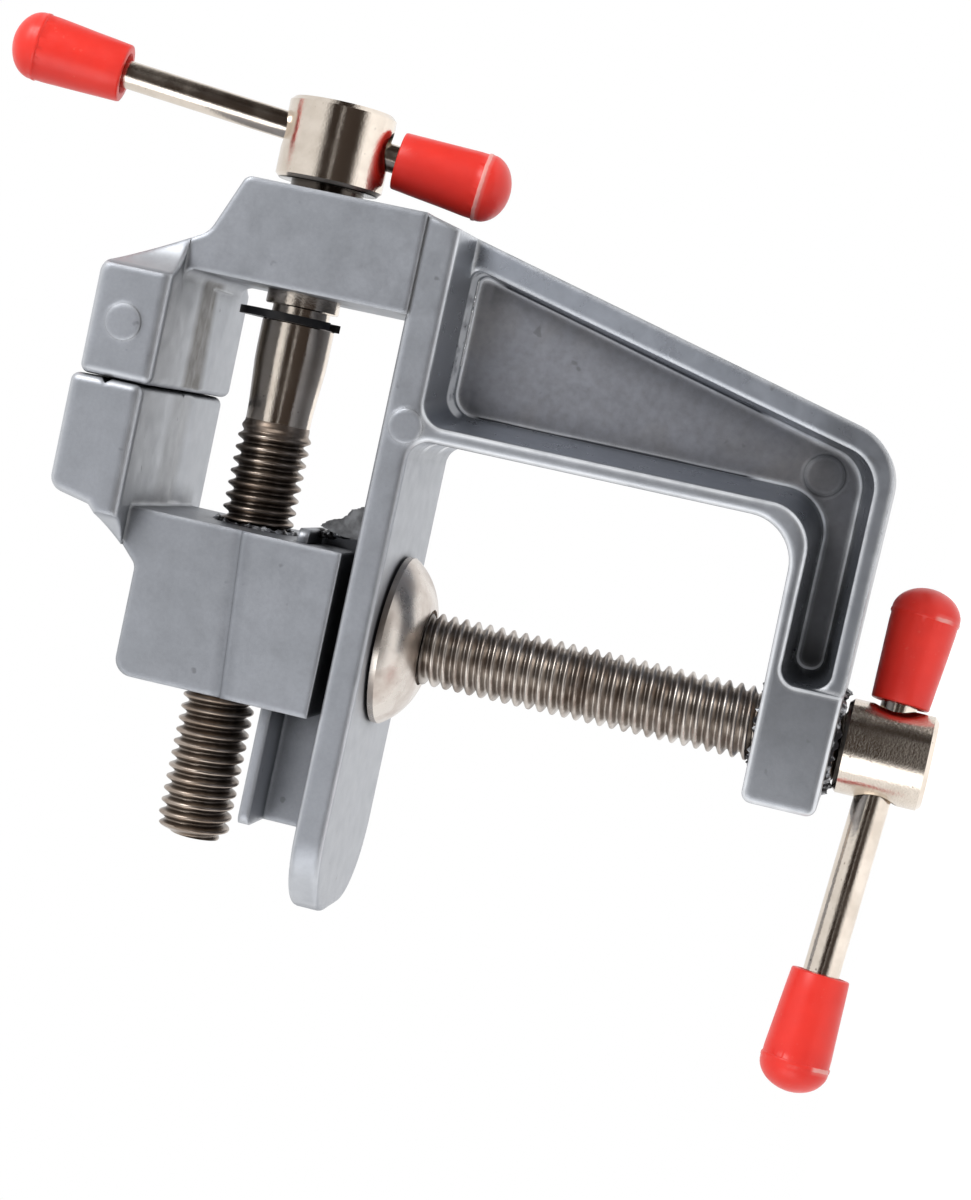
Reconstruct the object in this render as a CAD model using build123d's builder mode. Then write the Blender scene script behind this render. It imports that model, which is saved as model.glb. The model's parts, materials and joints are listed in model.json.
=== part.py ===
from build123d import *
import math
import os

# Clamp-on table vise. Units are millimetres.
# The origin is on the table seat, where the clamp screw's axis meets it.
# +X runs along the jaw screw towards its handle, +Z is up from the table, +Y is across.

# Plate that lies on the table
plate_width = 22.0
plate_thickness = 3.2
plate_tip_x = -28.5
plate_tip_radius = 8.2
cast_edge_radius = 0.6

# T-shaped rail on the plate
rail_start_x = -20.9
rail_end_x = 9.6
rail_neck_width = 4.0
rail_neck_height = 5.4
rail_head_width = 17.0
rail_head_thickness = 1.1
rail_ramp_length = 3.4
rail_foot_length = 1.0
rail_corner_radius = 1.0

# C-shaped frame below the plate
arm_inner_x = 20.7
arm_top_x = 42.6
arm_slope = math.radians(14.1)
throat_height = 38.6
throat_top_radius = 2.0
throat_bottom_radius = 4.6
leg_thickness = 8.2
leg_inner_taper = math.radians(0.9)
leg_outer_taper = math.radians(0.7)
leg_end_x = -6.6
leg_end_radius = 1.0
heel_radius = 5.7

# Pocket in each side of the frame, with the draft of each wall
web_thickness = 5.0
pocket_floor_radius = 0.5
pocket_top_drop = 0.4
throat_flange = 1.5
outer_flange = 2.3
leg_inner_flange = 1.5
leg_outer_flange = 1.6
pocket_end_x = 5.3
pocket_end_radius = 1.7
pocket_top_radius = 0.9
pocket_throat_radius = 2.4
pocket_elbow_radius = 4.4
pocket_heel_radius = 4.0
plate_wall_draft = math.radians(10)
throat_wall_draft = math.radians(12)
outer_wall_draft = math.radians(4)
leg_outer_wall_draft = math.radians(10)
leg_inner_wall_draft = math.radians(6)
end_wall_draft = math.radians(10)
end_corner_draft = math.radians(3)

# Outer flange, set back from the sides of the plate and the leg's boss
flange_setback_at_plate = 5.6
flange_setback_at_heel = 0.7

# Jaws
jaw_width = 30.0
jaw_gap = 0.1
contact_x = 20.3
fixed_jaw_length = 11.0
fixed_jaw_bottom_z = 25.9
fixed_jaw_height = 7.5
moving_jaw_length = 11.7
moving_jaw_bottom_z = 26.5
moving_jaw_height = 7.6
jaw_edge_radius = 0.9
jaw_back_radius = 1.6
jaw_groove_depth = 0.6
jaw_groove_z = 30.4
jaw_flare_angle = math.radians(75)
jaw_flute_radius = 18.0
jaw_flute_start_y = 4.3
jaw_flute_end_y = 2.0
flute_start_depth = 0.5
flute_end_depth = 0.22

# Fixed block that carries the jaw screw
fixed_block_width = 22.6
fixed_block_inner_x = 32.5
fixed_block_base_z = 3.0
fixed_block_shoulder_z = 21.6
fixed_block_corner_radius = 1.0
fixed_neck_rise = 2.6
fixed_neck_reach = 6.2
fixed_neck_radius = 2.5

# Sliding block under the moving jaw
slide_block_width = 22.0
slide_block_start_x = -8.6
slide_block_end_x = 8.2
slide_block_top_z = 24.8
slide_block_lift = 1.2
slide_block_radius = 1.8
slide_slope_x = 2.5
slide_slope_top_z = 29.8
slide_slope_radius = 1.2
slide_flare_setback = 1.4
slide_gap = 0.3
slide_fold_start_z = 13.4
slide_fold_end_z = 14.7
slide_fold_depth = 0.4
slide_fold_height = 7.0

# Round marks left by the ejector pins
ejector_mark_height = 0.15
web_mark_radius = 2.0
web_mark_x = 25.8
web_mark_z = -39.8
plate_mark_radius = 1.7
plate_mark_x = 21.8
plate_mark_z = 0.8
jaw_mark_radius = 1.8
jaw_mark_x = 25.9
jaw_mark_z = 29.8

# Threads, plain rods here: M8 with a 1.25 mm pitch
thread_radius = 3.8
running_gap = 0.08
seat_gap = 0.02

# Jaw screw
jaw_screw_z = 16.2
jaw_screw_tip_x = -24.6
jaw_thread_end_x = 18.3
journal_radius = 3.8
shank_radius = 3.75
shank_small_radius = 3.35
shank_cone_start_x = 19.2
shank_cone_end_x = 26.0
clip_groove_radius = 3.0
clip_groove_x = 29.5
clip_groove_width = 1.6
tip_chamfer = 0.9

# Retaining clip on the jaw screw
clip_thickness = 0.8
clip_radius = 5.3
clip_band = 1.3
clip_offset = 0.95
clip_mouth = 4.6
clip_prong_width = 2.2

# Hub of the jaw screw
jaw_hub_radius = 5.55
jaw_hub_length = 8.4
jaw_hub_gap = 1.2
jaw_hub_hole_depth = 4.85
jaw_hub_hole_radius = 2.05
hub_spigot_radius = 3.2
hub_cap_thickness = 1.4
hub_chamfer = 0.45

# Handle of the jaw screw
jaw_bar_radius = 1.45
jaw_bar_total = 53.3
jaw_bar_cap_gap = 0.98
jaw_bar_lean = 5.4
jaw_bar_turn = 8.0

# Clamp screw
clamp_hub_radius = 4.8
clamp_hub_length = 9.0
clamp_hub_gap = 0.35
clamp_hub_hole_depth = 4.5
clamp_hub_hole_radius = 2.25

# Handle of the clamp screw
clamp_bar_radius = 1.85
clamp_bar_total = 51.9
clamp_bar_cap_gap = 0.4
clamp_bar_lean = 3.4
clamp_bar_turn = 8.0

# Soft caps on the handle bars
cap_length = 12.0
cap_radius = 3.5
cap_mouth_wall = 1.1
cap_dome_length = 2.7
cap_seam_width = 1.0
cap_seam_rise = 0.08
cap_wall_at_tip = 2.0

# Pressed pad on the end of the clamp screw
pad_radius = 8.7
pad_table_gap = 0.3
pad_rim_height = 0.6
pad_height = 3.7
pad_crown_radius = 4.4
pad_dome_bulge = 0.5
pad_sheet = 0.9
pad_recess_radius = 3.95
pad_recess_depth = 0.7
pad_hole_radius = 2.9
rivet_head_radius = 4.2
rivet_head_thickness = 1.1
rivet_head_chamfer = 0.5

# Places worked out from the sizes above
bore_radius = thread_radius + running_gap
rail_head_z = plate_thickness + rail_neck_height
rail_top_z = rail_head_z + rail_head_thickness
leg_outer_z = -throat_height - leg_thickness
leg_length = arm_inner_x - leg_end_x
leg_end_inner_z = -throat_height - leg_length * math.tan(leg_inner_taper)
slide_bottom_z = plate_thickness + slide_block_lift
fixed_jaw_top_z = fixed_jaw_bottom_z + fixed_jaw_height
moving_jaw_top_z = moving_jaw_bottom_z + moving_jaw_height
moving_contact_x = contact_x - jaw_gap
pad_top_z = -pad_table_gap
pad_base_z = pad_top_z - pad_height
pad_floor_z = pad_base_z + pad_recess_depth
jaw_hub_start_x = arm_top_x + jaw_hub_gap
jaw_hub_end_x = jaw_hub_start_x + jaw_hub_length
jaw_hub_hole_x = jaw_hub_start_x + jaw_hub_hole_depth
clamp_hub_start_z = leg_outer_z - clamp_hub_gap
clamp_hub_end_z = clamp_hub_start_z - clamp_hub_length
clamp_hub_hole_z = clamp_hub_start_z - clamp_hub_hole_depth
jaw_axis = Axis((0, 0, jaw_screw_z), (1, 0, 0))
clamp_axis = Axis.Z
jaw_cross_axis = Vector(0, 0, 1).rotate(Axis.X, jaw_bar_turn)
clamp_cross_axis = Vector(1, 0, 0).rotate(Axis.Z, clamp_bar_turn)
jaw_cross_plane = Plane((jaw_hub_hole_x, 0, jaw_screw_z), z_dir=jaw_cross_axis)
clamp_cross_plane = Plane((0, 0, clamp_hub_hole_z), z_dir=clamp_cross_axis)

os.makedirs("parts", exist_ok=True)


def arm_outer_x(z):
    """X of the arm's sloping outer edge at height z."""
    return arm_top_x + (z - plate_thickness) * math.tan(arm_slope)


def round_corner(x, y, radius):
    """Round the corner of the current sketch that lies nearest to the point."""
    fillet(vertices().sort_by_distance((x, y, 0))[0], radius)


def drafted(size, draft, depth):
    """Size of a flange at a depth, where its wall leans out by the draft."""
    return size + depth * math.tan(draft)


def pocket_walls(depth):
    """X and Z of the pocket's straight walls at a depth below the side of the frame."""
    inner_x = arm_inner_x + drafted(throat_flange, throat_wall_draft, depth)
    top_z = -drafted(pocket_top_drop, plate_wall_draft, depth)
    leg_top_z = -throat_height - drafted(leg_inner_flange, leg_inner_wall_draft, depth)
    leg_bottom_z = leg_outer_z + drafted(leg_outer_flange, leg_outer_wall_draft, depth)
    end_x = drafted(pocket_end_x, end_wall_draft, depth)
    return inner_x, top_z, leg_top_z, leg_bottom_z, end_x


def pocket_outline(depth):
    """Outline of the pocket in the near side, at a depth below that side."""
    inner_x, top_z, leg_top_z, leg_bottom_z, end_x = pocket_walls(depth)
    outer_drop = drafted(outer_flange, outer_wall_draft, depth) / math.cos(arm_slope)
    end_radius = pocket_end_radius - depth * math.tan(end_corner_draft)
    corners = [
        (inner_x, top_z, pocket_throat_radius),
        (arm_outer_x(top_z) - outer_drop, top_z, pocket_top_radius),
        (arm_outer_x(leg_bottom_z) - outer_drop, leg_bottom_z, pocket_heel_radius),
        (end_x, leg_bottom_z, end_radius),
        (end_x, leg_top_z, end_radius),
        (inner_x, leg_top_z, pocket_elbow_radius),
    ]
    with BuildSketch(Plane.XZ.offset(plate_width / 2 - depth)) as outline:
        with BuildLine():
            Polyline([(x, z) for x, z, radius in corners], close=True)
        make_face()
        for x, z, radius in corners:
            round_corner(x, z, radius)
    return outline.sketch


def recess_outline(depth):
    """Outline of what stands clear of the outer flange, from the middle of the pocket outwards."""
    inner_x, top_z, leg_top_z, leg_bottom_z, end_x = pocket_walls(depth)
    middle_z = (leg_top_z + leg_bottom_z) / 2
    middle_x = (inner_x + heel_x) / 2
    with BuildSketch(Plane.XZ.offset(plate_width / 2 - depth)) as outline:
        with BuildLine():
            Polyline(
                (inner_x + throat_flange + pocket_throat_radius, top_z),
                (arm_top_x, top_z),
                (arm_top_x, leg_outer_z),
                (end_x, leg_outer_z),
                (end_x, middle_z),
                (middle_x, middle_z),
                close=True,
            )
        make_face()
    return outline.sketch


def jaw_flute(start_x, end_x, jaw_bottom_z, start_depth, end_depth):
    """Cutter for the shallow tapered flute under a jaw, the crown of a wide leaning cylinder."""
    base_z = jaw_bottom_z - jaw_flute_radius
    start = Vector(start_x, jaw_flute_start_y, base_z + start_depth)
    end = Vector(end_x, jaw_flute_end_y, base_z + end_depth)
    with BuildPart() as flute:
        with Locations(Plane((start + end) / 2, z_dir=end - start)):
            Cylinder(jaw_flute_radius, 2 * (end - start).length)
        with Locations(((start_x + end_x) / 2, 0, jaw_bottom_z)):
            Box(abs(end_x - start_x), jaw_width, 2 * jaw_edge_radius, mode=Mode.INTERSECT)
    return flute.part


def raise_mark(x, y, z, radius):
    """Round mark of an ejector pin on a face of the near side."""
    with Locations(Plane((x, y, z), z_dir=(0, -1, 0))):
        Cylinder(radius, ejector_mark_height, align=(Align.CENTER, Align.CENTER, Align.MIN))


def jaw_plan(contact, back, block_half_width, end, base_z):
    """Plan outline of a jaw, the flare behind it and the narrower block that it stands on."""
    half_jaw = jaw_width / 2
    flare_length = (half_jaw - block_half_width) / math.tan(jaw_flare_angle / 2)
    towards_back = math.copysign(1, back - contact)
    flare_end = (back + towards_back * flare_length, block_half_width)
    with BuildSketch(Plane.XY.offset(base_z)) as plan:
        with BuildLine():
            Polyline((contact, 0), (contact, half_jaw), (back, half_jaw))
            TangentArc(flare_end, (back, half_jaw), tangent=(-towards_back, 0))
            Polyline(flare_end, (end, block_half_width), (end, 0))
            mirror(about=Plane.XZ)
        make_face()
    return plan.sketch


def jaw_rim(all_faces, back_direction):
    """Edges round both ends of a jaw, without the back edge where its flare begins."""
    ends = all_faces.filter_by(Axis.Y).sort_by(Axis.Y)
    rim = ends[0].edges().sort_by(back_direction)[:-1]
    return rim + ends[-1].edges().sort_by(back_direction)[:-1]


def export(builder, name):
    builder.part.label = name
    export_step(builder.part, f"parts/{name}.step")


# Pocket with drafted walls, cut from both sides so that a web is left between them
heel_x = arm_outer_x(leg_outer_z)
pocket_depth = (plate_width - web_thickness) / 2
with BuildPart() as pocket_core:
    add(pocket_outline(0))
    add(pocket_outline(pocket_depth))
    loft(ruled=True)
    floor = faces().filter_by(Axis.Y).sort_by(Axis.Y)[-1]
    fillet(floor.edges(), pocket_floor_radius)

# Setback of the outer flange, deep at the plate and shallow at the heel
near_side_y = -plate_width / 2
with BuildPart() as flange_recess:
    add(recess_outline(0))
    add(recess_outline(pocket_depth))
    loft(ruled=True)
    with BuildSketch(Plane.YZ):
        with BuildLine():
            Polyline(
                (near_side_y, -pocket_top_drop),
                (near_side_y + flange_setback_at_plate, -pocket_top_drop),
                (near_side_y + flange_setback_at_heel, leg_outer_z),
                (near_side_y, leg_outer_z),
                close=True,
            )
        make_face()
    extrude(amount=arm_top_x, mode=Mode.INTERSECT)

# Plate and C-shaped frame, one prism with its corners rounded
leg_end_outer_z = leg_outer_z + (heel_x - leg_end_x) * math.tan(leg_outer_taper)
with BuildPart() as frame:
    with BuildSketch(Plane.XZ):
        with BuildLine():
            Polyline(
                (plate_tip_x, 0),
                (arm_inner_x, 0),
                (arm_inner_x, -throat_height),
                (leg_end_x, leg_end_inner_z),
                (leg_end_x, leg_end_outer_z),
                (heel_x, leg_outer_z),
                (arm_top_x, plate_thickness),
                (plate_tip_x, plate_thickness),
                close=True,
            )
        make_face()
        round_corner(arm_inner_x, 0, throat_top_radius)
        round_corner(arm_inner_x, -throat_height, throat_bottom_radius)
        round_corner(leg_end_x, leg_end_inner_z, leg_end_radius)
        round_corner(leg_end_x, leg_end_outer_z, leg_end_radius)
        round_corner(heel_x, leg_outer_z, heel_radius)
    extrude(amount=plate_width / 2, both=True)
    tip_corners = edges().filter_by(Axis.Z).group_by(Axis.X)[0]
    fillet(tip_corners, plate_tip_radius)
    for core in (pocket_core, flange_recess):
        add(core.part, mode=Mode.SUBTRACT)
        mirror(core.part, about=Plane.XZ, mode=Mode.SUBTRACT)
    side_faces = faces().filter_by(Axis.Y).group_by(Axis.Y)
    fillet(side_faces[0].edges() + side_faces[-1].edges(), cast_edge_radius)

# Fixed block and jaw: a side profile, narrowed in plan behind the jaw
fixed_jaw_back_x = contact_x + fixed_jaw_length
fixed_neck_x = arm_top_x - fixed_neck_reach
fixed_neck_z = fixed_block_shoulder_z + fixed_neck_rise
with BuildPart() as fixed_head:
    with BuildSketch(Plane.XZ) as fixed_profile:
        with BuildLine():
            Polyline(
                (fixed_block_inner_x, fixed_block_base_z),
                (fixed_block_inner_x, fixed_jaw_bottom_z),
                (contact_x, fixed_jaw_bottom_z),
                (contact_x, fixed_jaw_top_z),
                (fixed_jaw_back_x, fixed_jaw_top_z),
                (fixed_neck_x, fixed_neck_z),
                (arm_top_x, fixed_block_shoulder_z),
                (arm_top_x, fixed_block_base_z),
                close=True,
            )
        make_face()
        round_corner(contact_x, fixed_jaw_bottom_z, jaw_edge_radius)
        round_corner(contact_x, fixed_jaw_top_z, jaw_edge_radius)
        round_corner(fixed_jaw_back_x, fixed_jaw_top_z, jaw_back_radius)
        round_corner(fixed_neck_x, fixed_neck_z, fixed_neck_radius)
        round_corner(arm_top_x, fixed_block_shoulder_z, fixed_block_corner_radius)
        round_corner(fixed_block_inner_x, fixed_jaw_bottom_z, fixed_block_inner_x - fixed_jaw_back_x)
    extrude(amount=jaw_width / 2, both=True)
    half_block = fixed_block_width / 2
    extrude(
        jaw_plan(
            contact_x,
            fixed_jaw_back_x,
            half_block,
            arm_top_x,
            fixed_jaw_bottom_z,
        ),
        amount=fixed_jaw_height,
        mode=Mode.INTERSECT,
    )
    fillet(jaw_rim(faces(), Axis.X), jaw_edge_radius)
    extrude(fixed_profile.sketch, amount=half_block, both=True)
    fixed_flute = jaw_flute(
        fixed_jaw_back_x,
        contact_x,
        fixed_jaw_bottom_z,
        flute_start_depth,
        flute_end_depth,
    )
    add(fixed_flute, mode=Mode.SUBTRACT)

# Rail: a neck that ramps down to the plate at one end, under a wide thin head
with BuildPart() as rail:
    foot_end_x = rail_end_x + rail_ramp_length + rail_foot_length
    with BuildSketch(Plane.XZ):
        with BuildLine():
            Polyline(
                (rail_start_x, 0),
                (rail_start_x, rail_head_z),
                (rail_end_x, rail_head_z),
                (rail_end_x, plate_thickness),
                (foot_end_x, plate_thickness),
                (foot_end_x, 0),
                close=True,
            )
        make_face()
        round_corner(rail_end_x, plate_thickness, rail_ramp_length)
    extrude(amount=rail_neck_width / 2, both=True)
    with BuildSketch(Plane.XY.offset(rail_head_z)):
        with Locations(((rail_start_x + rail_end_x) / 2, 0)):
            Rectangle(rail_end_x - rail_start_x, rail_head_width)
        fillet(vertices(), rail_corner_radius)
    extrude(amount=rail_head_thickness)

# The whole casting
with BuildPart() as vise_body:
    add(frame.part)
    add(rail.part)
    add(fixed_head.part)
    raise_mark(web_mark_x, -web_thickness / 2, web_mark_z, web_mark_radius)
    raise_mark(plate_mark_x, near_side_y, plate_mark_z, plate_mark_radius)
    raise_mark(jaw_mark_x, -jaw_width / 2, jaw_mark_z, jaw_mark_radius)
    with Locations((0, 0, -throat_height)):
        Hole(bore_radius, depth=leg_thickness)
    with Locations(Plane((arm_top_x, 0, jaw_screw_z), z_dir=(1, 0, 0))):
        Hole(bore_radius, depth=arm_top_x - fixed_block_inner_x)
export(vise_body, "vise_body")

# Moving jaw: the same kind of profile on a block that wraps round the rail's head
moving_jaw_back_x = moving_contact_x - moving_jaw_length
slide_head_gap_z = rail_head_z - slide_gap
slide_slot_width = rail_neck_width + 2 * slide_gap
slide_head_width = rail_head_width + 2 * slide_gap
with BuildPart() as moving_jaw:
    with BuildSketch(Plane.XZ) as moving_profile:
        with BuildLine():
            Polyline(
                (slide_block_end_x, slide_bottom_z),
                (slide_block_end_x, moving_jaw_bottom_z),
                (moving_contact_x, moving_jaw_bottom_z),
                (moving_contact_x, moving_jaw_top_z),
                (moving_jaw_back_x, moving_jaw_top_z),
                (moving_jaw_back_x - jaw_edge_radius, slide_slope_top_z),
                (slide_slope_x, slide_block_top_z),
                (slide_block_start_x, slide_block_top_z),
                (slide_block_start_x, slide_bottom_z),
                close=True,
            )
        make_face()
        round_corner(moving_contact_x, moving_jaw_bottom_z, jaw_edge_radius)
        round_corner(moving_contact_x, moving_jaw_top_z, jaw_edge_radius)
        round_corner(moving_jaw_back_x, moving_jaw_top_z, jaw_back_radius)
        round_corner(slide_slope_x, slide_block_top_z, slide_slope_radius)
        round_corner(slide_block_start_x, slide_block_top_z, slide_block_radius)
        round_corner(slide_block_end_x, moving_jaw_bottom_z, moving_jaw_back_x - slide_block_end_x)
    extrude(amount=jaw_width / 2, both=True)
    half_block = slide_block_width / 2
    extrude(
        jaw_plan(
            moving_contact_x,
            moving_jaw_back_x - slide_flare_setback,
            half_block,
            slide_block_start_x,
            moving_jaw_bottom_z,
        ),
        amount=moving_jaw_height,
        mode=Mode.INTERSECT,
    )
    fillet(jaw_rim(faces(), -Axis.X), jaw_edge_radius)
    extrude(moving_profile.sketch, amount=half_block, both=True)
    moving_flute = jaw_flute(
        moving_jaw_back_x,
        moving_contact_x,
        moving_jaw_bottom_z,
        flute_end_depth,
        flute_end_depth,
    )
    add(moving_flute, mode=Mode.SUBTRACT)
    slot_height = slide_head_gap_z - slide_bottom_z
    head_space_height = rail_top_z + slide_gap - slide_head_gap_z
    block_middle_x = (slide_block_start_x + slide_block_end_x) / 2
    block_length = slide_block_end_x - slide_block_start_x
    with Locations((block_middle_x, 0, slide_bottom_z)):
        Box(
            block_length,
            slide_slot_width,
            slot_height,
            align=(Align.CENTER, Align.CENTER, Align.MIN),
            mode=Mode.SUBTRACT,
        )
    with Locations((block_middle_x, 0, slide_head_gap_z)):
        Box(
            block_length,
            slide_head_width,
            head_space_height,
            align=(Align.CENTER, Align.CENTER, Align.MIN),
            mode=Mode.SUBTRACT,
        )
    with Locations(Plane((slide_block_end_x, 0, jaw_screw_z), z_dir=(1, 0, 0))):
        Hole(bore_radius, depth=block_length)
    fold_run = Vector(block_length, 0, slide_fold_end_z - slide_fold_start_z)
    fold_start = (slide_block_start_x, 0, slide_fold_start_z)
    with BuildSketch(Plane(fold_start, x_dir=(0, 1, 0), z_dir=fold_run)):
        with BuildLine():
            Polyline(
                (half_block, slide_fold_height),
                (half_block - slide_fold_depth, 0),
                (half_block, 0),
                close=True,
            )
        make_face()
        mirror(about=Plane.YZ)
    extrude(amount=2 * fold_run.length, both=True, mode=Mode.SUBTRACT)
    with BuildSketch(Plane.XZ):
        with BuildLine():
            Polyline(
                (moving_contact_x, jaw_groove_z - jaw_groove_depth),
                (moving_contact_x - jaw_groove_depth, jaw_groove_z),
                (moving_contact_x, jaw_groove_z + jaw_groove_depth),
                close=True,
            )
        make_face()
    extrude(amount=jaw_width / 2, both=True, mode=Mode.SUBTRACT)
    with BuildSketch(Plane.XY.offset(moving_jaw_bottom_z)):
        with BuildLine():
            Polyline(
                (moving_contact_x, -jaw_groove_depth),
                (moving_contact_x - jaw_groove_depth, 0),
                (moving_contact_x, jaw_groove_depth),
                close=True,
            )
        make_face()
    extrude(amount=moving_jaw_height, mode=Mode.SUBTRACT)
export(moving_jaw, "moving_jaw")

# Jaw screw: journal in the fixed block, groove for the clip, shank, cone and thread
jaw_spigot_end_x = jaw_hub_end_x - hub_cap_thickness
with BuildPart() as jaw_screw:
    with BuildSketch(Plane.XZ):
        with BuildLine():
            Polyline(
                (jaw_screw_tip_x, jaw_screw_z),
                (jaw_screw_tip_x, jaw_screw_z + thread_radius - tip_chamfer),
                (jaw_screw_tip_x + tip_chamfer, jaw_screw_z + thread_radius),
                (jaw_thread_end_x, jaw_screw_z + thread_radius),
                (shank_cone_start_x, jaw_screw_z + shank_small_radius),
                (shank_cone_end_x, jaw_screw_z + shank_radius),
                (clip_groove_x, jaw_screw_z + shank_radius),
                (clip_groove_x, jaw_screw_z + clip_groove_radius),
                (clip_groove_x + clip_groove_width, jaw_screw_z + clip_groove_radius),
                (clip_groove_x + clip_groove_width, jaw_screw_z + journal_radius),
                (jaw_hub_start_x, jaw_screw_z + journal_radius),
                (jaw_hub_start_x, jaw_screw_z + hub_spigot_radius),
                (jaw_spigot_end_x, jaw_screw_z + hub_spigot_radius),
                (jaw_spigot_end_x, jaw_screw_z),
                close=True,
            )
        make_face()
    revolve(axis=jaw_axis)
    with Locations(jaw_cross_plane):
        Cylinder(jaw_hub_hole_radius, 2 * jaw_hub_radius, mode=Mode.SUBTRACT)
export(jaw_screw, "jaw_screw")

# Hub pressed on the end of the jaw screw, with a cross hole for the handle bar
with BuildPart() as jaw_screw_hub:
    with BuildSketch(Plane.XZ):
        with BuildLine():
            Polyline(
                (jaw_hub_start_x, jaw_screw_z + hub_spigot_radius + seat_gap),
                (jaw_hub_start_x, jaw_screw_z + jaw_hub_radius - hub_chamfer),
                (jaw_hub_start_x + hub_chamfer, jaw_screw_z + jaw_hub_radius),
                (jaw_hub_end_x - hub_chamfer, jaw_screw_z + jaw_hub_radius),
                (jaw_hub_end_x, jaw_screw_z + jaw_hub_radius - hub_chamfer),
                (jaw_hub_end_x, jaw_screw_z),
                (jaw_spigot_end_x, jaw_screw_z),
                (jaw_spigot_end_x, jaw_screw_z + hub_spigot_radius + seat_gap),
                close=True,
            )
        make_face()
    revolve(axis=jaw_axis)
    with Locations(jaw_cross_plane):
        Cylinder(jaw_hub_hole_radius, 2 * jaw_hub_radius, mode=Mode.SUBTRACT)
export(jaw_screw_hub, "jaw_screw_hub")

# Retaining clip: an open spring ring with three prongs that grip the groove
with BuildPart() as jaw_screw_clip:
    clip_plane = Plane((clip_groove_x, 0, jaw_screw_z), x_dir=(0, 1, 0), z_dir=(1, 0, 0))
    with BuildSketch(clip_plane):
        with Locations((0, clip_offset)):
            Circle(clip_radius)
            Circle(clip_radius - clip_band, mode=Mode.SUBTRACT)
        with Locations((0, clip_radius / 2)):
            Rectangle(clip_prong_width, clip_radius)
        Rectangle(2 * (clip_radius - clip_band / 2), clip_prong_width)
        Circle(clip_groove_radius + seat_gap, mode=Mode.SUBTRACT)
        with Locations((0, -clip_radius)):
            Rectangle(clip_mouth, 2 * (clip_radius - clip_prong_width / 2), mode=Mode.SUBTRACT)
    extrude(amount=clip_thickness)
export(jaw_screw_clip, "jaw_screw_clip")


# Handle bars and their caps: both bars lean in their loose cross holes
def bar_plane(cross_plane, screw, lean, start):
    """Plane square to a bar that leans towards the screw's direction in its cross hole."""
    across = Axis((0, 0, 0), cross_plane.z_dir.cross(screw))
    leaned = cross_plane.z_dir.rotate(across, lean)
    return Plane(origin=cross_plane.origin + leaned * start, z_dir=leaned)


def make_bar(plane, radius, length):
    """Plain handle bar that starts at the plane and runs along its normal."""
    with BuildPart() as bar:
        with BuildSketch(plane):
            Circle(radius)
        extrude(amount=length)
    return bar


def make_cap(plane, bar_radius):
    """Soft cap: its mouth lies on the plane and its dome ends along the plane's normal."""
    barrel_end = cap_length - cap_dome_length
    seam_start = barrel_end - cap_seam_width
    seam_radius = cap_radius + cap_seam_rise
    profile_plane = Plane(origin=plane.origin, x_dir=plane.x_dir, z_dir=-plane.y_dir)
    with BuildPart() as cap:
        with BuildSketch(profile_plane):
            with BuildLine():
                Polyline(
                    (0, barrel_end),
                    (0, 0),
                    (bar_radius + cap_mouth_wall, 0),
                    (cap_radius, seam_start),
                    (seam_radius, seam_start),
                    (seam_radius, barrel_end),
                    (cap_radius, barrel_end),
                )
                Spline((cap_radius, barrel_end), (0, cap_length), tangents=((0, 1), (-1, 0)))
                Line((0, cap_length), (0, barrel_end))
            make_face()
        revolve(axis=Axis(plane.origin, plane.z_dir))
        with BuildSketch(plane):
            Circle(bar_radius + seat_gap)
        extrude(amount=cap_length - cap_wall_at_tip, mode=Mode.SUBTRACT)
    return cap


def moved_plane(plane, distance, facing=1):
    """The plane moved along its normal, and turned to face back where facing is -1."""
    origin = plane.origin + plane.z_dir * distance
    return Plane(origin=origin, x_dir=plane.x_dir, z_dir=plane.z_dir * facing)


# Jaw handle
cap_overlap = cap_length - cap_wall_at_tip
jaw_bar_start = cap_wall_at_tip - cap_length - jaw_bar_cap_gap - jaw_hub_radius
jaw_bar_length = jaw_bar_total - 2 * cap_wall_at_tip
jaw_handle_plane = bar_plane(jaw_cross_plane, Vector(1, 0, 0), jaw_bar_lean, jaw_bar_start)
jaw_handle_bar = make_bar(jaw_handle_plane, jaw_bar_radius, jaw_bar_length)
export(jaw_handle_bar, "jaw_handle_bar")
jaw_upper_plane = moved_plane(jaw_handle_plane, jaw_bar_length - cap_overlap)
jaw_lower_plane = moved_plane(jaw_handle_plane, cap_overlap, facing=-1)
jaw_handle_cap_upper = make_cap(jaw_upper_plane, jaw_bar_radius)
jaw_handle_cap_lower = make_cap(jaw_lower_plane, jaw_bar_radius)
export(jaw_handle_cap_upper, "jaw_handle_cap_upper")
export(jaw_handle_cap_lower, "jaw_handle_cap_lower")

# Clamp screw: riveted head inside the pad, neck, thread and spigot in the hub
rivet_head_base_z = pad_floor_z + pad_sheet + seat_gap
clamp_spigot_end_z = clamp_hub_end_z + hub_cap_thickness
with BuildPart() as clamp_screw:
    with BuildSketch(Plane.XZ):
        with BuildLine():
            Polyline(
                (0, rivet_head_base_z + rivet_head_thickness),
                (rivet_head_radius - rivet_head_chamfer, rivet_head_base_z + rivet_head_thickness),
                (rivet_head_radius, rivet_head_base_z),
                (pad_hole_radius - running_gap, rivet_head_base_z),
                (pad_hole_radius - running_gap, pad_floor_z - seat_gap),
                (thread_radius, pad_floor_z - seat_gap),
                (thread_radius, clamp_hub_start_z),
                (hub_spigot_radius, clamp_hub_start_z),
                (hub_spigot_radius, clamp_spigot_end_z),
                (0, clamp_spigot_end_z),
                close=True,
            )
        make_face()
    revolve(axis=clamp_axis)
    with Locations(clamp_cross_plane):
        Cylinder(clamp_hub_hole_radius, 2 * clamp_hub_radius, mode=Mode.SUBTRACT)
export(clamp_screw, "clamp_screw")

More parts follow.
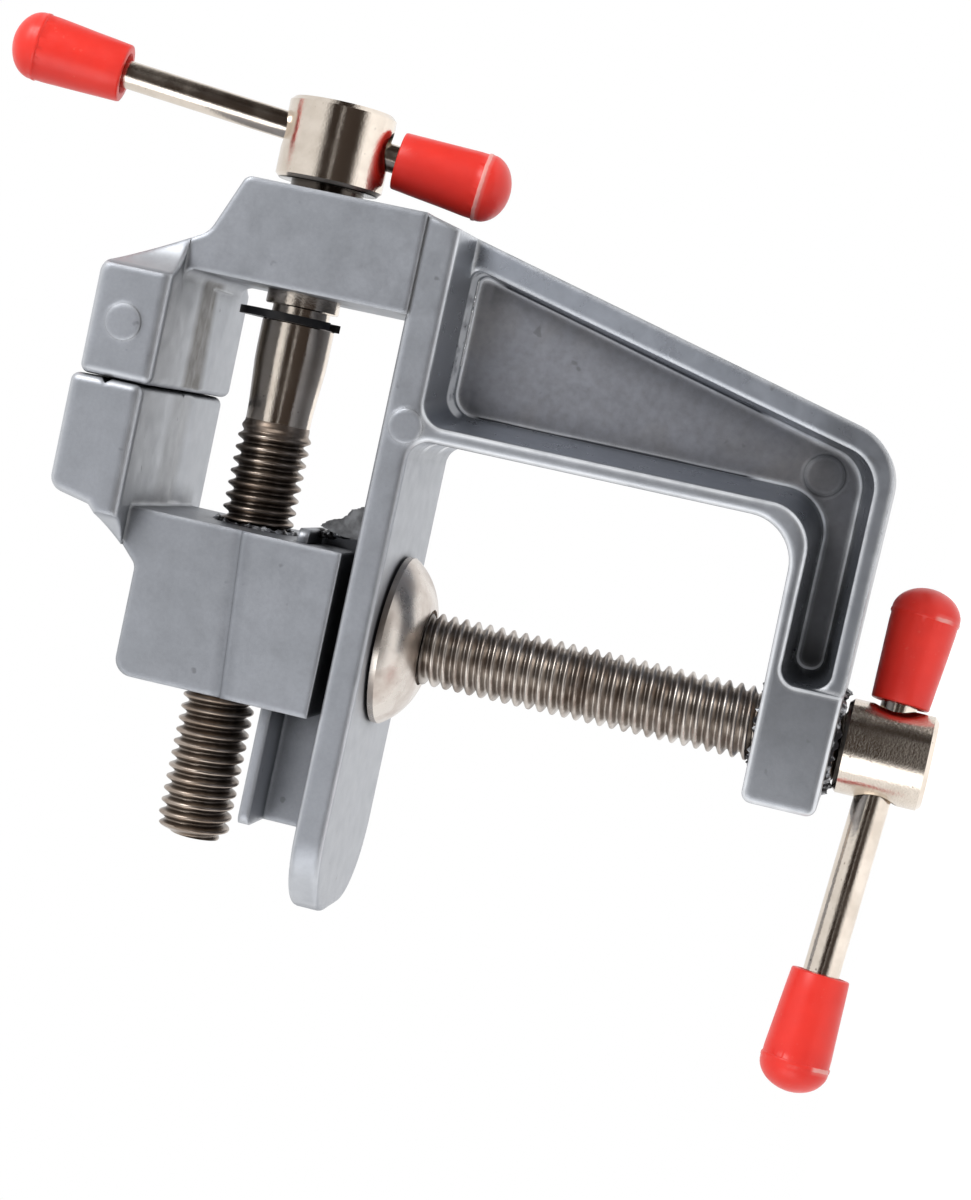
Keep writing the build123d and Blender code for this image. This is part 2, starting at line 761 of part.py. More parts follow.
# Hub pressed on the lower end of the clamp screw
with BuildPart() as clamp_screw_hub:
    with BuildSketch(Plane.XZ):
        with BuildLine():
            Polyline(
                (hub_spigot_radius + seat_gap, clamp_hub_start_z),
                (clamp_hub_radius - hub_chamfer, clamp_hub_start_z),
                (clamp_hub_radius, clamp_hub_start_z - hub_chamfer),
                (clamp_hub_radius, clamp_hub_end_z + hub_chamfer),
                (clamp_hub_radius - hub_chamfer, clamp_hub_end_z),
                (0, clamp_hub_end_z),
                (0, clamp_spigot_end_z),
                (hub_spigot_radius + seat_gap, clamp_spigot_end_z),
                close=True,
            )
        make_face()
    revolve(axis=clamp_axis)
    with Locations(clamp_cross_plane):
        Cylinder(clamp_hub_hole_radius, 2 * clamp_hub_radius, mode=Mode.SUBTRACT)
export(clamp_screw_hub, "clamp_screw_hub")

# Clamp handle
clamp_bar_length = clamp_bar_total - 2 * cap_wall_at_tip
clamp_bar_end = clamp_hub_radius + clamp_bar_cap_gap + cap_length - cap_wall_at_tip
clamp_bar_start = clamp_bar_end - clamp_bar_length
clamp_handle_plane = bar_plane(clamp_cross_plane, Vector(0, 0, -1), clamp_bar_lean, clamp_bar_start)
clamp_handle_bar = make_bar(clamp_handle_plane, clamp_bar_radius, clamp_bar_length)
export(clamp_handle_bar, "clamp_handle_bar")
clamp_front_plane = moved_plane(clamp_handle_plane, clamp_bar_length - cap_overlap)
clamp_back_plane = moved_plane(clamp_handle_plane, cap_overlap, facing=-1)
clamp_handle_cap_front = make_cap(clamp_front_plane, clamp_bar_radius)
clamp_handle_cap_back = make_cap(clamp_back_plane, clamp_bar_radius)
export(clamp_handle_cap_front, "clamp_handle_cap_front")
export(clamp_handle_cap_back, "clamp_handle_cap_back")

# Clamp pad: a pressed dome with a recess round the hole that the screw's neck turns in
pad_rim_z = pad_top_z - pad_rim_height
pad_inner_radius = pad_radius - pad_sheet
pad_inner_floor_z = pad_floor_z + pad_sheet
pad_inner_crown_radius = pad_crown_radius + pad_sheet / 2
with BuildPart() as clamp_pad:
    with BuildSketch(Plane.XZ):
        with BuildLine():
            SagittaArc((pad_crown_radius, pad_base_z), (pad_radius, pad_rim_z), -pad_dome_bulge)
            Polyline(
                (pad_radius, pad_rim_z),
                (pad_radius, pad_top_z),
                (pad_inner_radius, pad_top_z),
                (pad_inner_radius, pad_rim_z),
            )
            SagittaArc(
                (pad_inner_crown_radius, pad_inner_floor_z),
                (pad_inner_radius, pad_rim_z),
                -pad_dome_bulge,
            )
            Polyline(
                (pad_inner_crown_radius, pad_inner_floor_z),
                (pad_hole_radius, pad_inner_floor_z),
                (pad_hole_radius, pad_floor_z),
                (pad_recess_radius, pad_floor_z),
                (pad_recess_radius, pad_base_z),
                (pad_crown_radius, pad_base_z),
            )
        make_face()
    revolve(axis=clamp_axis)
export(clamp_pad, "clamp_pad")
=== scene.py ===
import json
import math
import random

import bpy
from mathutils import Matrix, Vector


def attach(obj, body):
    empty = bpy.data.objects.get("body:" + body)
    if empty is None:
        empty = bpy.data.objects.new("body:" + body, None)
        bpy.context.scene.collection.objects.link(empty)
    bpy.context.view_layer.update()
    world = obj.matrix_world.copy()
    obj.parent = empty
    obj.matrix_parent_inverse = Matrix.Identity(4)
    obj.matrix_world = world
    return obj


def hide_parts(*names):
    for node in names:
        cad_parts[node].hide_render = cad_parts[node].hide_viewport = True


# Clamp-on table vise, in the frame's own axes: +X along the jaw screw towards its handle,
# +Z up from the table, +Y away from the camera. Sizes and places are in millimetres here
# and become metres where meshes, materials, camera and lamps are made.
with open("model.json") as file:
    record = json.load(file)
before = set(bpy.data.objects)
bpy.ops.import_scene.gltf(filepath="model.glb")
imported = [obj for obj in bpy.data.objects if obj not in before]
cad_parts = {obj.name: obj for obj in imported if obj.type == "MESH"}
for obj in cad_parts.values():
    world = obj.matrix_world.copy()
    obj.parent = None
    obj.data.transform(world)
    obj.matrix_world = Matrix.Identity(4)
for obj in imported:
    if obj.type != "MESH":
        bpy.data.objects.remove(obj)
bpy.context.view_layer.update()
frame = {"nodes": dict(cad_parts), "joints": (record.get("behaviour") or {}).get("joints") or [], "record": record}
MM = 0.001

# Sizes and places that the looks share with the frame
JAW_SCREW_Z = 16.2
JAW_SCREW_TIP_X = -24.6
JAW_THREAD_END_X = 18.3
JAW_HUB_START_X = 43.8
JAW_HUB_HOLE_X = 48.65
CLAMP_HUB_START_Z = -47.15
CLAMP_HUB_HOLE_Z = -51.65
LEG_INNER_Z = -38.93
LEG_OUTER_Z = -46.4
SLIDE_BLOCK_END_X = 8.2
JAW_BAR_RADIUS = 1.45
CLAMP_BAR_RADIUS = 1.85

# Thread, M8 with a 1.25 mm pitch. The crest and the flanks are shares of half a pitch.
PITCH = 1.25
THREAD_RADIUS = 3.78
THREAD_DEPTH = 0.7
THREAD_RUNOUT = 1.4
CREST_END = 0.14
STRAIGHT_FLANK = 0.74
ROUND_FLANK_END = 0.9
ROUND_SHARE = 0.55
TURN_STEPS = 72
STEPS_PER_PITCH = 12

# Soft caps
CAP_LENGTH = 12.0
CAP_RADIUS = 3.5
CAP_BARREL = 9.3
CAP_MOUTH_RADIUS = 2.98
CAP_RECESS = 1.1
CAP_SEGMENTS = 120
DOME_STEPS = 13
DOME_TURN = math.radians(89.5)


def mm(*values):
    """A vector in metres from millimetres."""
    return Vector(values) * MM


# Meshes
def link(name, vertices, faces, smooth_angle=35):
    """New mesh object, smooth but for edges sharper than the angle."""
    mesh = bpy.data.meshes.new(name)
    mesh.from_pydata([Vector(v) * MM for v in vertices], [], faces)
    mesh.validate()
    mesh.shade_smooth()
    mesh.set_sharp_from_angle(angle=math.radians(smooth_angle))
    piece = bpy.data.objects.new(name, mesh)
    bpy.context.scene.collection.objects.link(piece)
    return piece


def axis_frame(origin, axis):
    """Matrix that puts local Z along the axis, with its zero at the origin."""
    rotation = Vector(axis).to_track_quat("Z", "Y").to_matrix().to_4x4()
    return Matrix.Translation(Vector(origin)) @ rotation


def ring_point(radius, angle, along):
    """Local point at an angle round Z and a distance along it."""
    return Vector((radius * math.cos(angle), radius * math.sin(angle), along))


def grid_faces(rings, segments):
    """Quads between neighbouring closed rings, and one face over each end."""
    faces = []
    for ring in range(rings - 1):
        for step in range(segments):
            following = (step + 1) % segments
            a = ring * segments
            b = a + segments
            faces.append((a + step, a + following, b + following, b + step))
    faces.append(tuple(reversed(range(segments))))
    last = (rings - 1) * segments
    faces.append(tuple(range(last, last + segments)))
    return faces


def lathe(name, profile, place, segments=96):
    """Turned piece: the profile is a list of (distance along the axis, radius)."""
    vertices = []
    for along, radius in profile:
        for step in range(segments):
            angle = 2 * math.pi * step / segments
            vertices.append(place @ ring_point(radius, angle, along))
    return link(name, vertices, grid_faces(len(profile), segments))


def clamp(value):
    return max(0.0, min(1.0, value))


def fade(value, low, high):
    """0 below low, 1 above high, smooth between."""
    share = clamp((value - low) / (high - low))
    return share * share * (3 - 2 * share)


def thread_cut(phase):
    """Depth of the thread at a phase of one pitch, from 0 on the crest to 1 in the root."""
    distance = abs(phase % 1.0 - 0.5) * 2
    straight = clamp((distance - CREST_END) / STRAIGHT_FLANK)
    return fade(distance, CREST_END, ROUND_FLANK_END) * ROUND_SHARE + straight * (1 - ROUND_SHARE)


def threaded_rod(name, place, outline, start, end, cut_share):
    """Rod with a helical thread. outline(along) is its radius over the crests, and
    cut_share(along) says how much of the thread's depth is cut there."""
    vertices = []
    step_length = PITCH / STEPS_PER_PITCH
    count = round((end - start) / step_length) + 1
    for ring in range(count):
        along = start + ring * step_length
        depth = THREAD_DEPTH * cut_share(along)
        for step in range(TURN_STEPS):
            turn = step / TURN_STEPS
            radius = outline(along) - depth * thread_cut(along / PITCH - turn)
            vertices.append(place @ ring_point(radius, 2 * math.pi * turn, along))
    return link(name, vertices, grid_faces(count, TURN_STEPS), smooth_angle=60)


def jitter(angle, seed, waves=(3, 5, 8, 13)):
    """Smooth uneven value from -1 to 1 round a ring, different for each seed."""
    draw = random.Random(seed)
    total = sum(math.sin(wave * angle + draw.uniform(0, 2 * math.pi)) for wave in waves)
    return total / len(waves)


def ragged_ring(name, place, inner, outer, height, seed, steps=84):
    """Torn collar of metal round a screw: it rises from the face to an uneven broken crest."""
    draw = random.Random(seed)
    root = -0.2
    vertices = []
    for step in range(steps):
        angle = 2 * math.pi * step / steps
        swell = 0.65 + 0.35 * jitter(angle, seed)
        rise = height * swell * draw.uniform(0.35, 1.0)
        reach = inner + (outer - inner) * swell * draw.uniform(0.7, 1.0)
        crest = inner + (reach - inner) * draw.uniform(0.2, 0.6)
        for radius, along in ((inner, root), (inner, rise * 0.7), (crest, rise), (reach, root)):
            vertices.append(place @ ring_point(radius, angle, along))
    faces = []
    for step in range(steps):
        a = 4 * step
        b = 4 * ((step + 1) % steps)
        for row in range(4):
            after = (row + 1) % 4
            faces.append((a + row, b + row, b + after, a + after))
    return link(name, vertices, faces, smooth_angle=18)


def random_way(draw):
    return Vector([draw.uniform(-1, 1) for _ in range(3)]).normalized()


def lump(name, center, size, seed, dent_count=22):
    """Rough knob of cast metal: a ball pushed in and out by many dents."""
    draw = random.Random(seed)
    dents = [(random_way(draw), draw.uniform(-0.35, 0.3)) for _ in range(dent_count)]
    rings = 17
    segments = 24
    vertices = []
    for ring in range(rings):
        polar = math.pi * (ring + 0.5) / rings
        for step in range(segments):
            way = ring_point(math.sin(polar), 2 * math.pi * step / segments, math.cos(polar))
            reach = 1 + sum(depth * max(0.0, way.dot(dent)) ** 6 for dent, depth in dents)
            vertices.append(Vector(center) + Vector([w * s for w, s in zip(way, size)]) * reach)
    return link(name, vertices, grid_faces(rings, segments), smooth_angle=14)


def torn_flap(name, outline, y, thickness, seed, splits=7):
    """Sheared flap of cast metal: an outline of (x, z) points with jagged edges, standing in Y."""
    draw = random.Random(seed)
    ring = []
    for start, end in zip(outline, outline[1:] + outline[:1]):
        for step in range(splits):
            share = step / splits
            x, z = (a + (b - a) * share + draw.uniform(-0.08, 0.08) for a, b in zip(start, end))
            ring.append((x, z))
    near = [(x, y - thickness / 2 * draw.uniform(0.5, 1.0), z) for x, z in ring]
    far = [(x, y + thickness / 2, z) for x, z in ring]
    count = len(ring)
    faces = [tuple(range(count)), tuple(reversed(range(count, 2 * count)))]
    for step in range(count):
        after = (step + 1) % count
        faces.append((after, step, count + step, count + after))
    return link(name, near + far, faces, smooth_angle=25)


def cap_outline(bar_radius):
    """Outline of a soft cap from the recess round its bar to the tip of its dome.

    Each point is (distance from the mouth, radius, share of flash)."""
    recess = [
        (CAP_RECESS, bar_radius + 0.02, 0),
        (CAP_RECESS, bar_radius + 0.45, 0),
        (0.25, bar_radius + 0.55, 0),
        (0.0, bar_radius + 0.72, 0),
    ]
    lip = [
        (0.0, CAP_MOUTH_RADIUS - 0.2, 0),
        (0.06, CAP_MOUTH_RADIUS - 0.06, 0),
        (0.2, CAP_MOUTH_RADIUS, 0),
    ]
    taper = (CAP_RADIUS - CAP_MOUTH_RADIUS) / CAP_BARREL
    barrel = [(along, CAP_MOUTH_RADIUS + taper * along, 0) for along in (2.0, 4.0, 6.0, 8.0)]
    parting = [
        (CAP_BARREL - 0.52, CAP_RADIUS - 0.07, 0.0),
        (CAP_BARREL - 0.46, CAP_RADIUS - 0.01, 0.9),
        (CAP_BARREL - 0.36, CAP_RADIUS + 0.05, 1.0),
        (CAP_BARREL - 0.14, CAP_RADIUS + 0.04, 1.0),
        (CAP_BARREL - 0.05, CAP_RADIUS - 0.01, 0.3),
    ]
    dome = []
    for step in range(1, DOME_STEPS + 1):
        angle = DOME_TURN * step / DOME_STEPS
        along = CAP_BARREL + (CAP_LENGTH - CAP_BARREL) * math.sin(angle)
        dome.append((along, CAP_RADIUS * math.cos(angle), 0))
    return recess + lip + barrel + parting + dome


def soft_cap(name, place, bar_radius, seed, torn):
    """Dipped cap with an uneven parting line. Its flash is torn all round where torn is 1,
    and only in places where it is near 0."""
    outline = cap_outline(bar_radius)
    vertices = []
    flash_shares = []
    for along, radius, flash in outline:
        for step in range(CAP_SEGMENTS):
            angle = 2 * math.pi * step / CAP_SEGMENTS
            shift = 0.10 * flash * jitter(angle, seed, (2, 5, 9, 17, 31))
            swell = 0.03 * flash * jitter(angle, seed + 7, (4, 11, 23))
            if radius > 1:
                swell += 0.012 * jitter(angle, seed + int(along), (2, 3))
            reach = max(radius + swell - 0.02, 0.01)
            vertices.append(place @ ring_point(reach, angle, along + shift))
            torn_here = jitter(angle, seed + 3, (1, 2, 4)) + torn
            flash_shares.append(flash * fade(torn_here, 0.1, 0.35))
    piece = link(name, vertices, grid_faces(len(outline), CAP_SEGMENTS), smooth_angle=50)
    layer = piece.data.attributes.new("flash", "FLOAT", "POINT")
    layer.data.foreach_set("value", flash_shares)
    return piece


# Materials
class Nodes:
    """A node tree with short ways to fill it. A value is a number or another node's socket."""

    def __init__(self, tree):
        self.tree = tree

    def add(self, kind, inputs=None, **properties):
        node = self.tree.nodes.new(kind)
        for key, value in properties.items():
            setattr(node, key, value)
        for key, value in (inputs or {}).items():
            self.put(node.inputs[key], value)
        return node

    def put(self, socket, value):
        if isinstance(value, bpy.types.NodeSocket):
            self.tree.links.new(value, socket)
        else:
            socket.default_value = value

    def math(self, operation, first, second=0.0):
        return self.add("ShaderNodeMath", {0: first, 1: second}, operation=operation).outputs[0]

    def product(self, first, *others):
        for other in others:
            first = self.math("MULTIPLY", first, other)
        return first

    def largest(self, first, *others):
        for other in others:
            first = self.math("MAXIMUM", first, other)
        return first

    def without(self, value, mask):
        """The value where the mask is 0, and nothing where it is 1."""
        return self.product(value, self.math("SUBTRACT", 1.0, mask))

    def ramp(self, value, low, high, start=0.0, end=1.0):
        """Runs from start at the low value to end at the high one, and stays there."""
        return self.add(
            "ShaderNodeMapRange",
            {"Value": value, "From Min": low, "From Max": high, "To Min": start, "To Max": end},
        ).outputs["Result"]

    def seen_directly(self):
        """1 for rays from the camera, from a reflection or through glass."""
        path = self.add("ShaderNodeLightPath").outputs
        return self.largest(path["Is Camera Ray"], path["Is Glossy Ray"], path["Is Transmission Ray"])


class Shader(Nodes):
    """A material's node tree, with its Principled BSDF as surface."""

    def __init__(self, name):
        self.material = bpy.data.materials.new(name)
        self.material.use_nodes = True
        super().__init__(self.material.node_tree)
        self.surface = self.tree.nodes["Principled BSDF"]
        self.coordinates = self.add("ShaderNodeTexCoord").outputs["Object"]

    def noise(self, scale, detail=3.0, roughness=0.55):
        inputs = {"Vector": self.coordinates, "Scale": scale, "Detail": detail, "Roughness": roughness}
        return self.add("ShaderNodeTexNoise", inputs).outputs["Fac"]

    def patches(self, scale, detail, low, high, start=0.0, end=1.0, roughness=0.55):
        """Uneven patches: from start where the noise is low to end where it is high."""
        return self.ramp(self.noise(scale, detail, roughness), low, high, start, end)

    def mix(self, share, first, second):
        node = self.add("ShaderNodeMix", data_type="RGBA")
        self.put(node.inputs[0], share)
        self.put(node.inputs[6], first)
        self.put(node.inputs[7], second)
        return node.outputs[2]

    def bump(self, height, strength, distance, normal=None):
        inputs = {"Height": height, "Strength": strength, "Distance": distance * MM}
        if normal:
            inputs["Normal"] = normal
        return self.add("ShaderNodeBump", inputs).outputs["Normal"]

    def bevel(self, radius, samples):
        """Normal of the surface with its edges rounded off."""
        return self.add("ShaderNodeBevel", {"Radius": radius * MM}, samples=samples).outputs["Normal"]

    def crevice(self, distance):
        """1 deep inside corners and slots and 0 on open faces."""
        shade = self.add("ShaderNodeAmbientOcclusion", {"Distance": distance * MM}, samples=8)
        return self.ramp(shade.outputs["AO"], 0.85, 0.38)

    def edge(self, radius):
        """1 on sharp edges and 0 on flat faces."""
        flat = self.add("ShaderNodeNewGeometry").outputs["Normal"]
        inputs = {0: self.bevel(radius, 6), 1: flat}
        dot = self.add("ShaderNodeVectorMath", inputs, operation="DOT_PRODUCT")
        return self.ramp(dot.outputs["Value"], 0.995, 0.85)

    def place(self):
        """Position on the object in metres, as three separate numbers."""
        split = self.add("ShaderNodeSeparateXYZ", {"Vector": self.coordinates})
        return split.outputs["X"], split.outputs["Y"], split.outputs["Z"]

    def normal_part(self, axis):
        """One component of the surface's own direction."""
        normal = self.add("ShaderNodeNewGeometry").outputs["Normal"]
        return self.add("ShaderNodeSeparateXYZ", {"Vector": normal}).outputs[axis]

    def between(self, value, low, high, soft):
        """1 where the value lies between low and high, with soft ends."""
        rising = self.ramp(value, low - soft, low + soft)
        return self.product(rising, self.ramp(value, high + soft, high - soft))

    def past(self, position, span, start=0.0, end=1.0):
        """Runs from start to end between the two places of the span."""
        return self.ramp(position, span[0] * MM, span[1] * MM, start, end)

    def inside(self, position, span, soft):
        """1 between the two places of the span, with soft ends."""
        return self.between(position, span[0] * MM, span[1] * MM, soft * MM)

    def facing_down(self):
        """1 on faces that look down along the object's Z."""
        return self.ramp(self.normal_part("Z"), -0.7, -0.95)

    def use(self, **inputs):
        """The material, with these inputs on its surface."""
        for key, value in inputs.items():
            self.put(self.surface.inputs[key.replace("_", " ")], value)
        return self.material


def rgb(red, green, blue):
    return (red, green, blue, 1.0)


# Colours of the casting
CASTING_LIGHT = rgb(0.335, 0.35, 0.385)
CASTING_DARK = rgb(0.295, 0.31, 0.34)
CASTING_GRAIN = rgb(0.225, 0.235, 0.26)
WALL_BLUE = rgb(0.27, 0.30, 0.36)
WEB_COLOR = rgb(0.30, 0.31, 0.35)
WEB_STAIN = rgb(0.31, 0.29, 0.275)
WEB_GRAIN = rgb(0.20, 0.20, 0.215)
# Painted light on faces that look down
PAINTED_UNDERSIDE_LIGHT = rgb(0.52, 0.535, 0.56)
# Darker strip in the flute under the jaws
FLUTE_DARK = rgb(0.085, 0.075, 0.065)
PIT = rgb(0.12, 0.12, 0.13)
# Painted shade in corners, slots and along dark lines
PAINTED_SHADE = rgb(0.035, 0.037, 0.043)
# Wear and painted highlight on edges and rims
WORN_AND_PAINTED_HIGHLIGHT = rgb(0.86, 0.88, 0.91)

# Where the casting's looks change, from none at a span's first place to full at its second.
# Places in Y count from the middle of the casting to both sides.
BELOW_PLATE_Z = (-0.2, -0.6)
INSIDE_RIM_Y = (10.6, 9.8)
ON_WEB_Y = (3.2, 2.6)
SHORT_OF_ARM_END_X = (39.4, 39.0)
UNDER_JAWS_Z = (25.4, 25.7)
FLUTE_Y = (4.6, 2.6)
FIXED_JAW_X = (20.0, 20.6)
WEB_EDGE_Y = (3.9, 3.6)
SLIDING_BLOCK_X = (9.0, 8.6)
LEG_Z = (-38.0, -39.5)
LEG_HEEL_X = (-7.0, 3.0)

# Bands of the casting with looks of their own, from end to end
PLATE_WALL_Z = (-3.4, -0.5)
PLATE_FOOT_Z = (-2.9, -0.4)
PLATE_FOOT_Y = (3.3, 5.0)
WEB_EDGE_Z = (-33.0, -4.0)
FOLD_Z = (13.2, 14.9)
FOLD_SLOPE = 0.072
WEB_MARK = (25.8, 0, -39.8)
WEB_MARK_RIM = (1.75, 2.2)

# How the casting shines
METALLIC_CLEAN = 0.75
METALLIC_CHALKY = 0.3
GLOSS_IN_POCKET = 0.14
GLOSS_ON_WORN = 0.12
DULL_ON_WEB = 0.16


class Casting(Shader):
    """Tumbled die casting: satin blue-grey, browner and rougher on the web of the pocket, with
    a darker strip in the flutes under the jaws, painted shade in the corners and bright edges
    that are partly wear and partly painted highlight."""

    def __init__(self):
        super().__init__("casting")
        self.x, y, self.z = self.place()
        self.depth = self.math("ABSOLUTE", y)
        self.sideways = self.math("ABSOLUTE", self.normal_part("Y"))
        self.down = self.facing_down()
        self.grain = self.noise(2600, 2)
        self.below = self.past(self.z, BELOW_PLATE_Z)
        self.short_of_end = self.past(self.x, SHORT_OF_ARM_END_X)
        self.in_pocket = self.product(self.below, self.past(self.depth, INSIDE_RIM_Y))
        looks_sideways = self.ramp(self.sideways, 0.3, 0.6)
        self.on_web = self.product(self.below, self.past(self.depth, ON_WEB_Y), looks_sideways)

    def web_metal(self):
        color = self.mix(self.patches(90, 3, 0.45, 0.62, end=0.5), WEB_COLOR, WEB_STAIN)
        return self.mix(self.patches(1300, 3, 0.35, 0.7, end=0.5), color, WEB_GRAIN)

    def metal(self):
        """Blotched grey, bluer in the pocket, with painted light that makes faces looking down paler."""
        color = self.mix(self.patches(140, 4, 0.35, 0.65), CASTING_DARK, CASTING_LIGHT)
        color = self.mix(self.ramp(self.grain, 0.3, 0.7, end=0.25), color, CASTING_GRAIN)
        color = self.mix(self.product(self.in_pocket, 0.6), color, WALL_BLUE)
        color = self.mix(self.on_web, color, self.web_metal())
        return self.mix(self.product(self.down, 0.5), color, PAINTED_UNDERSIDE_LIGHT)

    def dark_patches(self):
        """Darker strip along the flute under the jaws, fainter on the sliding jaw."""
        under_jaws = self.product(self.down, self.past(self.z, UNDER_JAWS_Z))
        streaks = self.patches(700, 3, 0.3, 0.7, start=0.75)
        fixed_side = self.past(self.x, FIXED_JAW_X, start=0.3)
        return self.product(under_jaws, self.past(self.depth, FLUTE_Y), streaks, fixed_side)

    def painted_corner_shade(self):
        """Painted shade in the corners, with less of it on the pocket's wall at the plate."""
        plate_wall = self.product(self.inside(self.z, PLATE_WALL_Z, 0.2), self.short_of_end)
        return self.product(self.crevice(4), self.ramp(plate_wall, 0.0, 1.0, 0.85, 0.3))

    # Adds the flute's darker strip, pits, and painted shade in the corners.
    def pitted_and_shaded(self, color):
        color = self.mix(self.dark_patches(), color, FLUTE_DARK)
        pits = self.patches(620, 2, 0.27, 0.22, roughness=0.4)
        color = self.mix(self.product(pits, 0.5), color, PIT)
        return self.mix(self.painted_corner_shade(), color, PAINTED_SHADE)

    def plate_foot_highlight(self):
        """Painted highlight: a bright ragged line along the foot of the pocket's wall at the plate."""
        foot = self.inside(self.depth, PLATE_FOOT_Y, 0.2)
        foot = self.product(foot, self.inside(self.z, PLATE_FOOT_Z, 0.3), self.short_of_end)
        return self.product(foot, self.patches(500, 3, 0.3, 0.5))

    def edges(self):
        """Sharp edges, wider below the plate, and the rounded rims of the pocket and the jaws."""
        wide = self.product(self.edge(1.0), self.below)
        rims = self.between(self.sideways, 0.42, 0.93, 0.08)
        return self.largest(wide, self.edge(0.6), rims)

    def web_edge_shade(self, edges):
        """Painted shade along the line where the web meets the pocket's walls, which stays dark."""
        line = self.product(self.past(self.depth, WEB_EDGE_Y), edges)
        return self.product(line, self.inside(self.z, WEB_EDGE_Z, 0.8))

    def mark_rim_shade(self):
        """Painted shade on the rim of the round mark on the web."""
        flat = self.add("ShaderNodeCombineXYZ", {0: self.x, 2: self.z}).outputs[0]
        away = self.add("ShaderNodeVectorMath", {0: flat, 1: mm(*WEB_MARK)}, operation="DISTANCE")
        return self.product(self.inside(away.outputs["Value"], WEB_MARK_RIM, 0.12), self.on_web)

    def fold_shade(self):
        """Painted shade along a blunt fold that runs across the side of the sliding block."""
        level = self.math("SUBTRACT", self.z, self.product(self.x, FOLD_SLOPE))
        return self.product(self.inside(level, FOLD_Z, 0.5), self.past(self.x, SLIDING_BLOCK_X))

    def leg_shade(self):
        return self.product(self.past(self.z, LEG_Z), self.past(self.x, LEG_HEEL_X))

    def wear_and_highlight(self, edges):
        """Uneven wear and painted highlight on the edges, weaker above the plate."""
        uneven = self.patches(400, 3, 0.3, 0.6, start=0.7)
        return self.product(edges, uneven, self.ramp(self.below, 0.0, 1.0, start=0.45))

    def roughness(self, wear_and_highlight):
        level = self.patches(500, 3, 0.3, 0.7, 0.40, 0.50)
        level = self.math("SUBTRACT", level, self.product(self.in_pocket, GLOSS_IN_POCKET))
        level = self.math("ADD", level, self.product(self.on_web, DULL_ON_WEB))
        return self.math("SUBTRACT", level, self.product(wear_and_highlight, GLOSS_ON_WORN))

    def finish(self):
        edges = self.edges()
        web_edge_shade = self.web_edge_shade(edges)
        mark_rim_shade = self.mark_rim_shade()
        fold_shade = self.fold_shade()
        plate_foot_highlight = self.plate_foot_highlight()
        color = self.mix(plate_foot_highlight, self.pitted_and_shaded(self.metal()), WORN_AND_PAINTED_HIGHLIGHT)
        # Painted shade along the web's edge, the mark's rim, the fold and the leg
        dark_lines = ((web_edge_shade, 0.9), (mark_rim_shade, 0.6), (fold_shade, 0.16), (self.leg_shade(), 0.45))
        for line, share in dark_lines:
            color = self.mix(self.product(line, share), color, PAINTED_SHADE)
        edges = self.without(edges, web_edge_shade)
        edges = self.without(edges, self.product(mark_rim_shade, 0.7))
        wear_and_highlight = self.wear_and_highlight(self.without(edges, fold_shade))
        chalky = self.largest(self.product(wear_and_highlight, self.below), plate_foot_highlight)
        height = self.math("ADD", self.noise(260), self.product(self.grain, 0.3))
        return self.use(
            Base_Color=self.mix(self.product(wear_and_highlight, 0.85), color, WORN_AND_PAINTED_HIGHLIGHT),
            Metallic=self.ramp(chalky, 0.0, 1.0, METALLIC_CLEAN, METALLIC_CHALKY),
            Roughness=self.roughness(wear_and_highlight),
            Normal=self.bump(height, 0.2, 0.12, self.bevel(0.8, 8)),
        )


def make_burr():
    """Torn casting metal: bright broken facets between black patches."""
    shader = Shader("burr")
    bright = shader.patches(1100, 4, 0.50, 0.66)
    return shader.use(
        Base_Color=shader.mix(bright, rgb(0.018, 0.017, 0.019), rgb(0.45, 0.46, 0.48)),
        Metallic=0.85,
        Roughness=shader.ramp(bright, 0.0, 1.0, 0.5, 0.25),
        Normal=shader.bump(shader.noise(2500), 0.4, 0.08),
    )


def make_torn_metal():
    """Sheared casting metal: dull grey with sooty patches."""
    shader = Shader("torn_metal")
    dark_patches = shader.patches(500, 4, 0.4, 0.62)
    return shader.use(
        Base_Color=shader.mix(dark_patches, rgb(0.22, 0.225, 0.235), rgb(0.07, 0.07, 0.072)),
        Metallic=0.6,
        Roughness=0.5,
        Normal=shader.bump(shader.noise(1300), 0.5, 0.1),
    )


def make_flash_painted_highlight():
    """Thin flash, coloured bright as a painted highlight."""
    shader = Shader("flash_painted_highlight")
    rubbed = shader.patches(900, 3, 0.35, 0.65)
    return shader.use(
        Base_Color=shader.mix(rubbed, rgb(0.72, 0.73, 0.75), rgb(0.88, 0.89, 0.90)),
        Metallic=0.6,
        Roughness=0.35,
        Normal=shader.bump(shader.noise(1400), 0.4, 0.06),
    )


# The gap between the fixed block and the jaw screw's hub, where the steel gets painted shade
HUB_GAP_X = (42.0, JAW_HUB_START_X + 0.12)


def make_nickel():
    """Bright turned and plated steel with a warm tint, faint smudges and tiny pits."""
    shader = Shader("bright_nickel")
    smudge = shader.patches(350, 4, 0.4, 0.7)
    color = shader.mix(smudge, rgb(0.72, 0.645, 0.565), rgb(0.60, 0.53, 0.455))
    pits = shader.patches(2200, 2, 0.30, 0.25, roughness=0.5)
    color = shader.mix(shader.product(pits, 0.6), color, rgb(0.12, 0.09, 0.07))
    x, _, _ = shader.place()
    # Painted shade on the steel in the gap under the hub
    gap_shade = shader.inside(x, HUB_GAP_X, 0.04)
    color = shader.mix(shader.product(gap_shade, 0.93), color, rgb(0.02, 0.015, 0.012))
    ripple = shader.math("ADD", shader.noise(4200, 4), shader.product(shader.noise(700, 2), 0.8))
    return shader.use(
        Base_Color=color,
        Metallic=1.0,
        Roughness=shader.ramp(smudge, 0.0, 1.0, 0.12, 0.22),
        Normal=shader.bump(ripple, 0.25, 0.05),
    )


